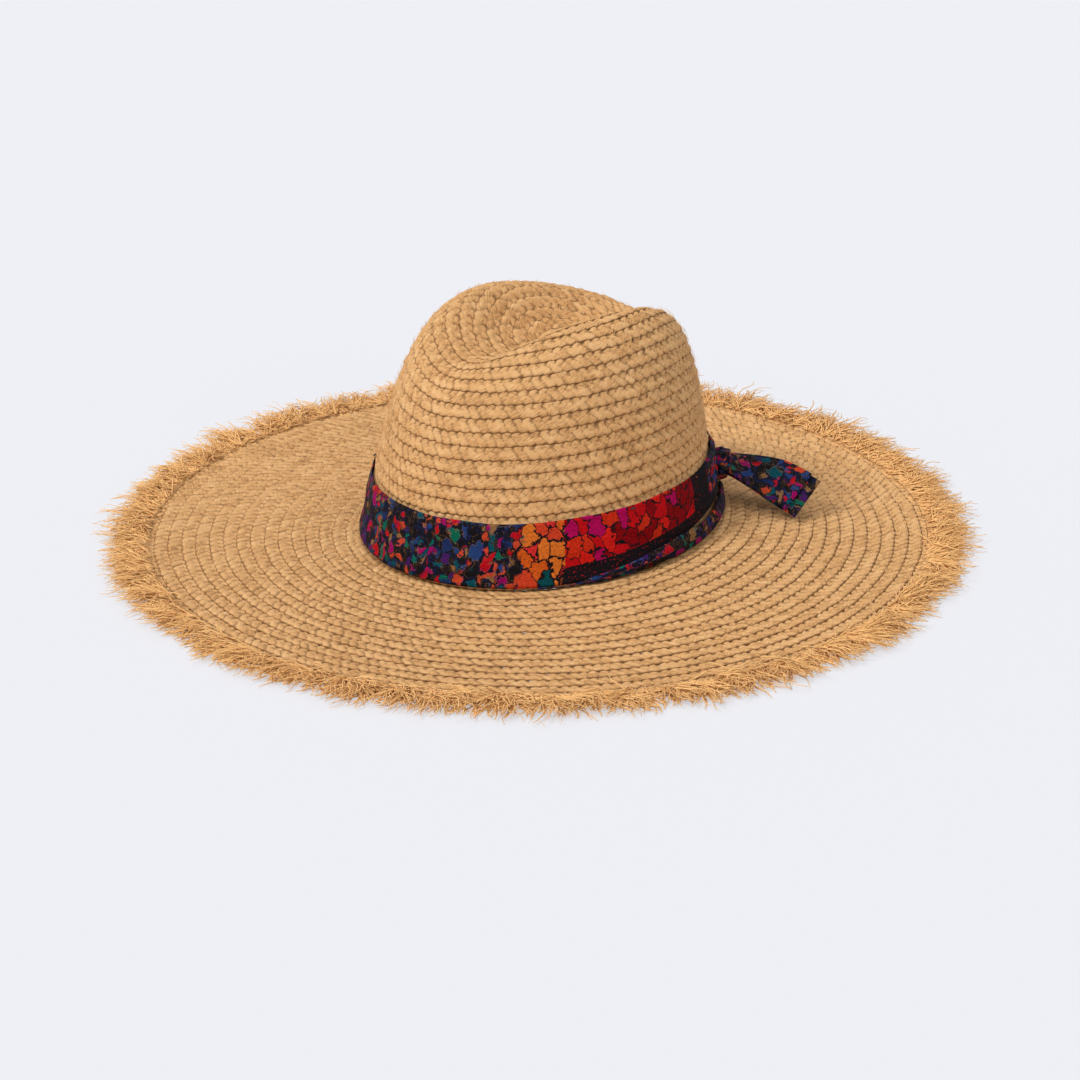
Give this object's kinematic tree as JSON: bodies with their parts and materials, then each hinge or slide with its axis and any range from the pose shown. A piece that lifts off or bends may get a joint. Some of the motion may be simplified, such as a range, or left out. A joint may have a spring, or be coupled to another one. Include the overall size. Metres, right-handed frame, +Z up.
{
  "type": "straw sun hat",
  "caption": "Wide-brimmed sewn raffia braid sun hat with a teardrop crown, frayed fringe and a knotted printed scarf band with two loose ends.",
  "frame": {"origin": "on the table under the middle of the brim, with the hat resting on the flat outer part of its brim", "axes": "+Z up, -Y to the front of the hat over the forehead, +X to the wearer's left"},
  "size_m": [0.4856, 0.4979, 0.1389],
  "materials": {
    "raffia_braid": "matt plaited raffia",
    "raffia_fringe": "frayed raffia fibres",
    "printed_scarf": "silky printed cloth with a cell print in red, orange, blue and black",
    "ribbon": "ribbed cotton ribbon",
    "thread": "cotton thread",
    "dark_thread": "dark cotton thread"
  },
  "bodies": {
    "hat": {"crown_braid": "raffia_braid", "crown_tip_coil": "raffia_braid", "brim_braid": "raffia_braid", "brim_edge_braid": "raffia_braid", "raffia_fringe": "raffia_fringe", "fringe_stitching": "thread", "head_seam_thread": "thread", "sweatband": "ribbon", "sweatband_join": "ribbon", "sweatband_stitching": "thread", "sash_wrap": "printed_scarf", "sash_lower_fold": "printed_scarf", "sash_tack_stitches": "dark_thread", "sash_knot": "printed_scarf"},
    "tail_lower": {"sash_tail_lower": "printed_scarf"},
    "tail_upper": {"sash_tail_upper": "printed_scarf"}
  },
  "joints": [
    {"name": "tail_lower_lift", "type": "hinge", "parent": "hat", "child": "tail_lower", "pos_m": [0.03145, 0.10596, 0.0333], "axis": [0.7193, -0.6947, 0], "range_deg": [0, 45]},
    {"name": "tail_upper_lift", "type": "hinge", "parent": "tail_lower", "child": "tail_upper", "pos_m": [0.03145, 0.10596, 0.0333], "axis": [0.7193, -0.6947, 0], "range_deg": [0, 45]}
  ]
}
